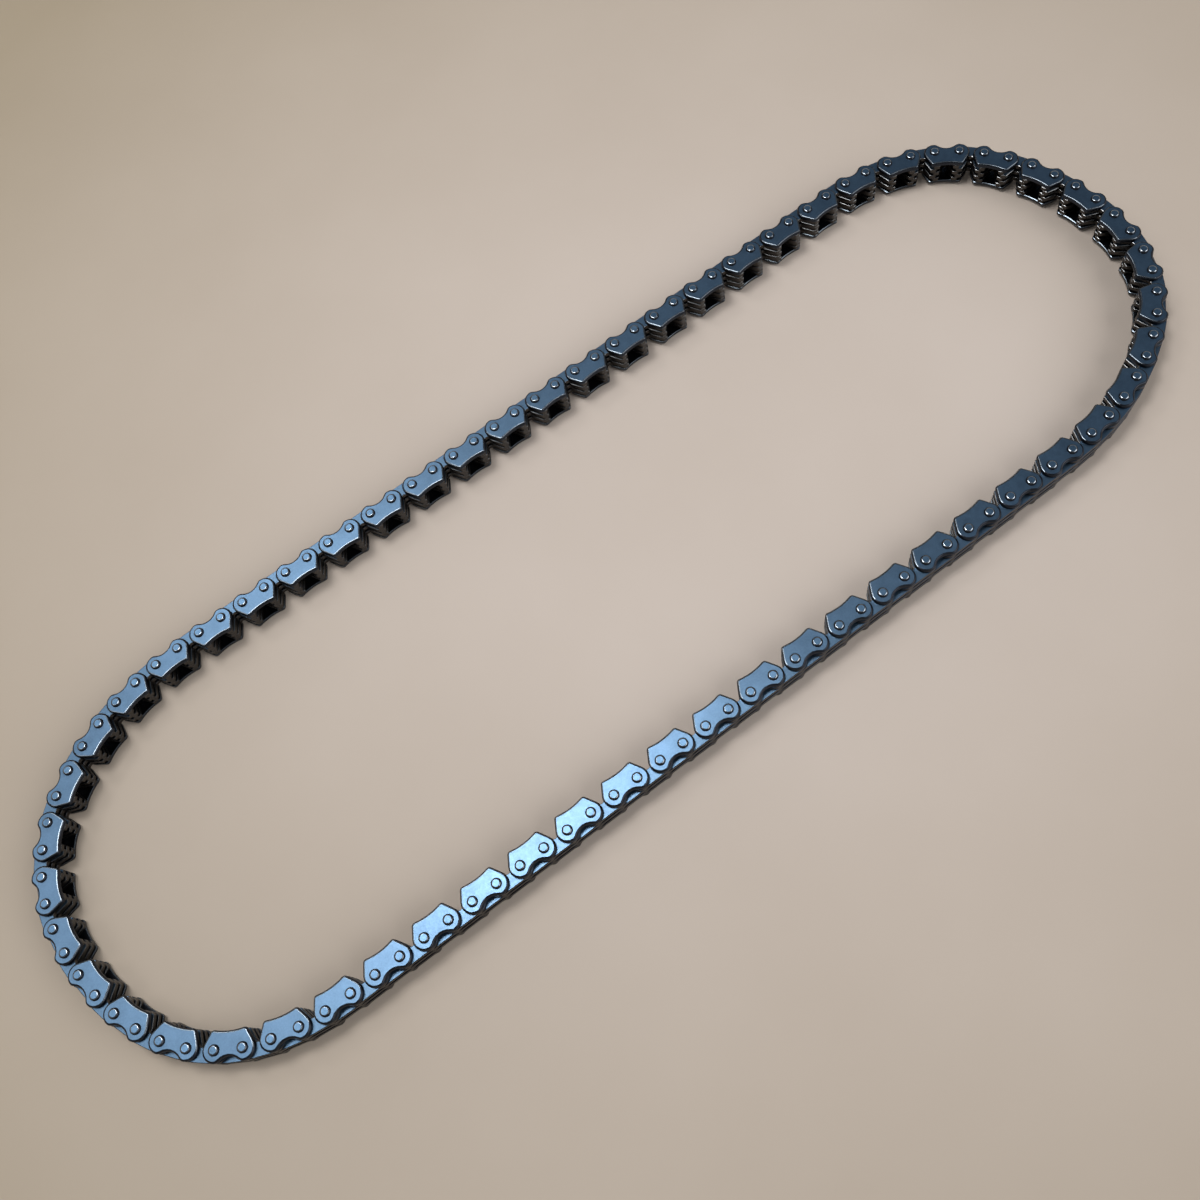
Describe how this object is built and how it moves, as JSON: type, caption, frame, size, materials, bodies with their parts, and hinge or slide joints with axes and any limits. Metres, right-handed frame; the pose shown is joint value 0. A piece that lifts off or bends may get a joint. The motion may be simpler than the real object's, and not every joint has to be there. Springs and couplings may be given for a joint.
{
  "type": "timing chain",
  "caption": "Endless inverted-tooth timing chain of hinged link plates with guide plates outside, lying on its side, teeth inward.",
  "frame": {"origin": "middle of the loop, at the lower ends of the pins", "axes": "+X along the loop's straight runs, +Z along the pins, upwards as the chain lies"},
  "size_m": [0.3126, 0.1006, 0.0088],
  "materials": {
    "link_steel": "satin blued steel with bright blanked edges"
  },
  "bodies": {
    "links_01": {"links_01": "link_steel"},
    "links_02": {"links_02": "link_steel"},
    "links_03": {"links_03": "link_steel"},
    "links_04": {"links_04": "link_steel"},
    "links_05": {"links_05": "link_steel"},
    "links_06": {"links_06": "link_steel"},
    "links_07": {"links_07": "link_steel"},
    "links_08": {"links_08": "link_steel"},
    "links_09": {"links_09": "link_steel"},
    "links_10": {"links_10": "link_steel"},
    "links_11": {"links_11": "link_steel"},
    "links_12": {"links_12": "link_steel"},
    "links_13": {"links_13": "link_steel"},
    "links_14": {"links_14": "link_steel"},
    "links_15": {"links_15": "link_steel"},
    "links_16": {"links_16": "link_steel"},
    "links_17": {"links_17": "link_steel"},
    "links_18": {"links_18": "link_steel"},
    "links_19": {"links_19": "link_steel"},
    "links_20": {"links_20": "link_steel"},
    "links_21": {"links_21": "link_steel"},
    "links_22": {"links_22": "link_steel"},
    "links_23": {"links_23": "link_steel"},
    "links_24": {"links_24": "link_steel"},
    "links_25": {"links_25": "link_steel"},
    "links_26": {"links_26": "link_steel"},
    "links_27": {"links_27": "link_steel"},
    "links_28": {"links_28": "link_steel"},
    "links_29": {"links_29": "link_steel"},
    "links_30": {"links_30": "link_steel"},
    "links_31": {"links_31": "link_steel"},
    "links_32": {"links_32": "link_steel"},
    "links_33": {"links_33": "link_steel"},
    "links_34": {"links_34": "link_steel"},
    "links_35": {"links_35": "link_steel"},
    "links_36": {"links_36": "link_steel"},
    "links_37": {"links_37": "link_steel"},
    "links_38": {"links_38": "link_steel"},
    "links_39": {"links_39": "link_steel"},
    "links_40": {"links_40": "link_steel"},
    "links_41": {"links_41": "link_steel"},
    "links_42": {"links_42": "link_steel"},
    "links_43": {"links_43": "link_steel"},
    "links_44": {"links_44": "link_steel"},
    "links_45": {"links_45": "link_steel"},
    "links_46": {"links_46": "link_steel"},
    "links_47": {"links_47": "link_steel"},
    "links_48": {"links_48": "link_steel"},
    "links_49": {"links_49": "link_steel"},
    "links_50": {"links_50": "link_steel"},
    "links_51": {"links_51": "link_steel"},
    "links_52": {"links_52": "link_steel"},
    "links_53": {"links_53": "link_steel"},
    "links_54": {"links_54": "link_steel"},
    "links_55": {"links_55": "link_steel"},
    "links_56": {"links_56": "link_steel"}
  },
  "joints": [
    {"name": "pivot_02", "type": "hinge", "parent": "links_01", "child": "links_02", "pos_m": [0.02207, 0.0476, 0.00438], "axis": [0, 0, 1], "range_deg": [-12, 12]},
    {"name": "pivot_03", "type": "hinge", "parent": "links_02", "child": "links_03", "pos_m": [0.03477, 0.0476, 0.00438], "axis": [0, 0, 1], "range_deg": [-12, 12]},
    {"name": "pivot_04", "type": "hinge", "parent": "links_03", "child": "links_04", "pos_m": [0.04747, 0.0476, 0.00438], "axis": [0, 0, 1], "range_deg": [-12, 12]},
    {"name": "pivot_05", "type": "hinge", "parent": "links_04", "child": "links_05", "pos_m": [0.06017, 0.0476, 0.00438], "axis": [0, 0, 1], "range_deg": [-12, 12]},
    {"name": "pivot_06", "type": "hinge", "parent": "links_05", "child": "links_06", "pos_m": [0.07287, 0.0476, 0.00438], "axis": [0, 0, 1], "range_deg": [-12, 12]},
    {"name": "pivot_07", "type": "hinge", "parent": "links_06", "child": "links_07", "pos_m": [0.08557, 0.0476, 0.00438], "axis": [0, 0, 1], "range_deg": [-12, 12]},
    {"name": "pivot_08", "type": "hinge", "parent": "links_07", "child": "links_08", "pos_m": [0.09827, 0.0476, 0.00438], "axis": [0, 0, 1], "range_deg": [-12, 12]},
    {"name": "pivot_09", "type": "hinge", "parent": "links_08", "child": "links_09", "pos_m": [0.11097, 0.04744, 0.00438], "axis": [0, 0, 1], "range_deg": [-12, 12]},
    {"name": "pivot_10", "type": "hinge", "parent": "links_09", "child": "links_10", "pos_m": [0.12344, 0.04515, 0.00438], "axis": [0, 0, 1], "range_deg": [-12, 12]},
    {"name": "pivot_11", "type": "hinge", "parent": "links_10", "child": "links_11", "pos_m": [0.13485, 0.03966, 0.00438], "axis": [0, 0, 1], "range_deg": [-12, 12]},
    {"name": "pivot_12", "type": "hinge", "parent": "links_11", "child": "links_12", "pos_m": [0.14386, 0.03077, 0.00438], "axis": [0, 0, 1], "range_deg": [-12, 12]},
    {"name": "pivot_13", "type": "hinge", "parent": "links_12", "child": "links_13", "pos_m": [0.14975, 0.01955, 0.00438], "axis": [0, 0, 1], "range_deg": [-12, 12]},
    {"name": "pivot_14", "type": "hinge", "parent": "links_13", "child": "links_14", "pos_m": [0.15291, 0.00727, 0.00438], "axis": [0, 0, 1], "range_deg": [-12, 12]},
    {"name": "pivot_15", "type": "hinge", "parent": "links_14", "child": "links_15", "pos_m": [0.1535, -0.0054, 0.00438], "axis": [0, 0, 1], "range_deg": [-12, 12]},
    {"name": "pivot_16", "type": "hinge", "parent": "links_15", "child": "links_16", "pos_m": [0.15078, -0.01777, 0.00438], "axis": [0, 0, 1], "range_deg": [-12, 12]},
    {"name": "pivot_17", "type": "hinge", "parent": "links_16", "child": "links_17", "pos_m": [0.14422, -0.02859, 0.00438], "axis": [0, 0, 1], "range_deg": [-12, 12]},
    {"name": "pivot_18", "type": "hinge", "parent": "links_17", "child": "links_18", "pos_m": [0.13465, -0.03689, 0.00438], "axis": [0, 0, 1], "range_deg": [-12, 12]},
    {"name": "pivot_19", "type": "hinge", "parent": "links_18", "child": "links_19", "pos_m": [0.12339, -0.04273, 0.00438], "axis": [0, 0, 1], "range_deg": [-12, 12]},
    {"name": "pivot_20", "type": "hinge", "parent": "links_19", "child": "links_20", "pos_m": [0.1112, -0.04624, 0.00438], "axis": [0, 0, 1], "range_deg": [-12, 12]},
    {"name": "pivot_21", "type": "hinge", "parent": "links_20", "child": "links_21", "pos_m": [0.09857, -0.0475, 0.00438], "axis": [0, 0, 1], "range_deg": [-12, 12]},
    {"name": "pivot_22", "type": "hinge", "parent": "links_21", "child": "links_22", "pos_m": [0.08588, -0.0476, 0.00438], "axis": [0, 0, 1], "range_deg": [-12, 12]},
    {"name": "pivot_23", "type": "hinge", "parent": "links_22", "child": "links_23", "pos_m": [0.07318, -0.0476, 0.00438], "axis": [0, 0, 1], "range_deg": [-12, 12]},
    {"name": "pivot_24", "type": "hinge", "parent": "links_23", "child": "links_24", "pos_m": [0.06048, -0.0476, 0.00438], "axis": [0, 0, 1], "range_deg": [-12, 12]},
    {"name": "pivot_25", "type": "hinge", "parent": "links_24", "child": "links_25", "pos_m": [0.04778, -0.0476, 0.00438], "axis": [0, 0, 1], "range_deg": [-12, 12]},
    {"name": "pivot_26", "type": "hinge", "parent": "links_25", "child": "links_26", "pos_m": [0.03508, -0.0476, 0.00438], "axis": [0, 0, 1], "range_deg": [-12, 12]},
    {"name": "pivot_27", "type": "hinge", "parent": "links_26", "child": "links_27", "pos_m": [0.02238, -0.0476, 0.00438], "axis": [0, 0, 1], "range_deg": [-12, 12]},
    {"name": "pivot_28", "type": "hinge", "parent": "links_27", "child": "links_28", "pos_m": [0.00968, -0.0476, 0.00438], "axis": [0, 0, 1], "range_deg": [-12, 12]},
    {"name": "pivot_29", "type": "hinge", "parent": "links_28", "child": "links_29", "pos_m": [-0.00302, -0.0476, 0.00438], "axis": [0, 0, 1], "range_deg": [-12, 12]},
    {"name": "pivot_56", "type": "hinge", "parent": "links_01", "child": "links_56", "pos_m": [0.00302, 0.0476, 0.00438], "axis": [0, 0, 1], "range_deg": [-12, 12]},
    {"name": "pivot_55", "type": "hinge", "parent": "links_56", "child": "links_55", "pos_m": [-0.00968, 0.0476, 0.00438], "axis": [0, 0, 1], "range_deg": [-12, 12]},
    {"name": "pivot_54", "type": "hinge", "parent": "links_55", "child": "links_54", "pos_m": [-0.02238, 0.0476, 0.00438], "axis": [0, 0, 1], "range_deg": [-12, 12]},
    {"name": "pivot_53", "type": "hinge", "parent": "links_54", "child": "links_53", "pos_m": [-0.03508, 0.0476, 0.00438], "axis": [0, 0, 1], "range_deg": [-12, 12]},
    {"name": "pivot_52", "type": "hinge", "parent": "links_53", "child": "links_52", "pos_m": [-0.04778, 0.0476, 0.00438], "axis": [0, 0, 1], "range_deg": [-12, 12]},
    {"name": "pivot_51", "type": "hinge", "parent": "links_52", "child": "links_51", "pos_m": [-0.06048, 0.0476, 0.00438], "axis": [0, 0, 1], "range_deg": [-12, 12]},
    {"name": "pivot_50", "type": "hinge", "parent": "links_51", "child": "links_50", "pos_m": [-0.07318, 0.0476, 0.00438], "axis": [0, 0, 1], "range_deg": [-12, 12]},
    {"name": "pivot_49", "type": "hinge", "parent": "links_50", "child": "links_49", "pos_m": [-0.08588, 0.0476, 0.00438], "axis": [0, 0, 1], "range_deg": [-12, 12]},
    {"name": "pivot_48", "type": "hinge", "parent": "links_49", "child": "links_48", "pos_m": [-0.09857, 0.0475, 0.00438], "axis": [0, 0, 1], "range_deg": [-12, 12]},
    {"name": "pivot_47", "type": "hinge", "parent": "links_48", "child": "links_47", "pos_m": [-0.1112, 0.04624, 0.00438], "axis": [0, 0, 1], "range_deg": [-12, 12]},
    {"name": "pivot_46", "type": "hinge", "parent": "links_47", "child": "links_46", "pos_m": [-0.12339, 0.04273, 0.00438], "axis": [0, 0, 1], "range_deg": [-12, 12]},
    {"name": "pivot_45", "type": "hinge", "parent": "links_46", "child": "links_45", "pos_m": [-0.13465, 0.03689, 0.00438], "axis": [0, 0, 1], "range_deg": [-12, 12]},
    {"name": "pivot_44", "type": "hinge", "parent": "links_45", "child": "links_44", "pos_m": [-0.14422, 0.02859, 0.00438], "axis": [0, 0, 1], "range_deg": [-12, 12]},
    {"name": "pivot_43", "type": "hinge", "parent": "links_44", "child": "links_43", "pos_m": [-0.15078, 0.01777, 0.00438], "axis": [0, 0, 1], "range_deg": [-12, 12]},
    {"name": "pivot_42", "type": "hinge", "parent": "links_43", "child": "links_42", "pos_m": [-0.1535, 0.0054, 0.00438], "axis": [0, 0, 1], "range_deg": [-12, 12]},
    {"name": "pivot_41", "type": "hinge", "parent": "links_42", "child": "links_41", "pos_m": [-0.15291, -0.00727, 0.00438], "axis": [0, 0, 1], "range_deg": [-12, 12]},
    {"name": "pivot_40", "type": "hinge", "parent": "links_41", "child": "links_40", "pos_m": [-0.14975, -0.01955, 0.00438], "axis": [0, 0, 1], "range_deg": [-12, 12]},
    {"name": "pivot_39", "type": "hinge", "parent": "links_40", "child": "links_39", "pos_m": [-0.14386, -0.03077, 0.00438], "axis": [0, 0, 1], "range_deg": [-12, 12]},
    {"name": "pivot_38", "type": "hinge", "parent": "links_39", "child": "links_38", "pos_m": [-0.13485, -0.03966, 0.00438], "axis": [0, 0, 1], "range_deg": [-12, 12]},
    {"name": "pivot_37", "type": "hinge", "parent": "links_38", "child": "links_37", "pos_m": [-0.12344, -0.04515, 0.00438], "axis": [0, 0, 1], "range_deg": [-12, 12]},
    {"name": "pivot_36", "type": "hinge", "parent": "links_37", "child": "links_36", "pos_m": [-0.11097, -0.04744, 0.00438], "axis": [0, 0, 1], "range_deg": [-12, 12]},
    {"name": "pivot_35", "type": "hinge", "parent": "links_36", "child": "links_35", "pos_m": [-0.09827, -0.0476, 0.00438], "axis": [0, 0, 1], "range_deg": [-12, 12]},
    {"name": "pivot_34", "type": "hinge", "parent": "links_35", "child": "links_34", "pos_m": [-0.08557, -0.0476, 0.00438], "axis": [0, 0, 1], "range_deg": [-12, 12]},
    {"name": "pivot_33", "type": "hinge", "parent": "links_34", "child": "links_33", "pos_m": [-0.07287, -0.0476, 0.00438], "axis": [0, 0, 1], "range_deg": [-12, 12]},
    {"name": "pivot_32", "type": "hinge", "parent": "links_33", "child": "links_32", "pos_m": [-0.06017, -0.0476, 0.00438], "axis": [0, 0, 1], "range_deg": [-12, 12]},
    {"name": "pivot_31", "type": "hinge", "parent": "links_32", "child": "links_31", "pos_m": [-0.04747, -0.0476, 0.00438], "axis": [0, 0, 1], "range_deg": [-12, 12]},
    {"name": "pivot_30", "type": "hinge", "parent": "links_31", "child": "links_30", "pos_m": [-0.03477, -0.0476, 0.00438], "axis": [0, 0, 1], "range_deg": [-12, 12]}
  ],
  "couplings": [
    {"joint": "pivot_03", "follows": "pivot_02", "ratio": -1},
    {"joint": "pivot_30", "follows": "pivot_02", "ratio": 1},
    {"joint": "pivot_05", "follows": "pivot_04", "ratio": -1},
    {"joint": "pivot_32", "follows": "pivot_04", "ratio": 1},
    {"joint": "pivot_31", "follows": "pivot_04", "ratio": -1},
    {"joint": "pivot_07", "follows": "pivot_06", "ratio": -1},
    {"joint": "pivot_34", "follows": "pivot_06", "ratio": 1},
    {"joint": "pivot_33", "follows": "pivot_06", "ratio": -1},
    {"joint": "pivot_09", "follows": "pivot_08", "ratio": -1},
    {"joint": "pivot_36", "follows": "pivot_08", "ratio": 1},
    {"joint": "pivot_35", "follows": "pivot_08", "ratio": -1},
    {"joint": "pivot_11", "follows": "pivot_10", "ratio": -1},
    {"joint": "pivot_38", "follows": "pivot_10", "ratio": 1},
    {"joint": "pivot_37", "follows": "pivot_10", "ratio": -1},
    {"joint": "pivot_13", "follows": "pivot_12", "ratio": -1},
    {"joint": "pivot_40", "follows": "pivot_12", "ratio": 1},
    {"joint": "pivot_39", "follows": "pivot_12", "ratio": -1},
    {"joint": "pivot_15", "follows": "pivot_14", "ratio": -1},
    {"joint": "pivot_42", "follows": "pivot_14", "ratio": 1},
    {"joint": "pivot_41", "follows": "pivot_14", "ratio": -1},
    {"joint": "pivot_43", "follows": "pivot_44", "ratio": -1},
    {"joint": "pivot_16", "follows": "pivot_44", "ratio": 1},
    {"joint": "pivot_17", "follows": "pivot_44", "ratio": -1},
    {"joint": "pivot_45", "follows": "pivot_46", "ratio": -1},
    {"joint": "pivot_18", "follows": "pivot_46", "ratio": 1},
    {"joint": "pivot_19", "follows": "pivot_46", "ratio": -1},
    {"joint": "pivot_47", "follows": "pivot_48", "ratio": -1},
    {"joint": "pivot_20", "follows": "pivot_48", "ratio": 1},
    {"joint": "pivot_21", "follows": "pivot_48", "ratio": -1},
    {"joint": "pivot_49", "follows": "pivot_50", "ratio": -1},
    {"joint": "pivot_22", "follows": "pivot_50", "ratio": 1},
    {"joint": "pivot_23", "follows": "pivot_50", "ratio": -1},
    {"joint": "pivot_51", "follows": "pivot_52", "ratio": -1},
    {"joint": "pivot_24", "follows": "pivot_52", "ratio": 1},
    {"joint": "pivot_25", "follows": "pivot_52", "ratio": -1},
    {"joint": "pivot_53", "follows": "pivot_54", "ratio": -1},
    {"joint": "pivot_26", "follows": "pivot_54", "ratio": 1},
    {"joint": "pivot_27", "follows": "pivot_54", "ratio": -1},
    {"joint": "pivot_55", "follows": "pivot_56", "ratio": -1},
    {"joint": "pivot_28", "follows": "pivot_56", "ratio": 1},
    {"joint": "pivot_29", "follows": "pivot_56", "ratio": -1}
  ]
}
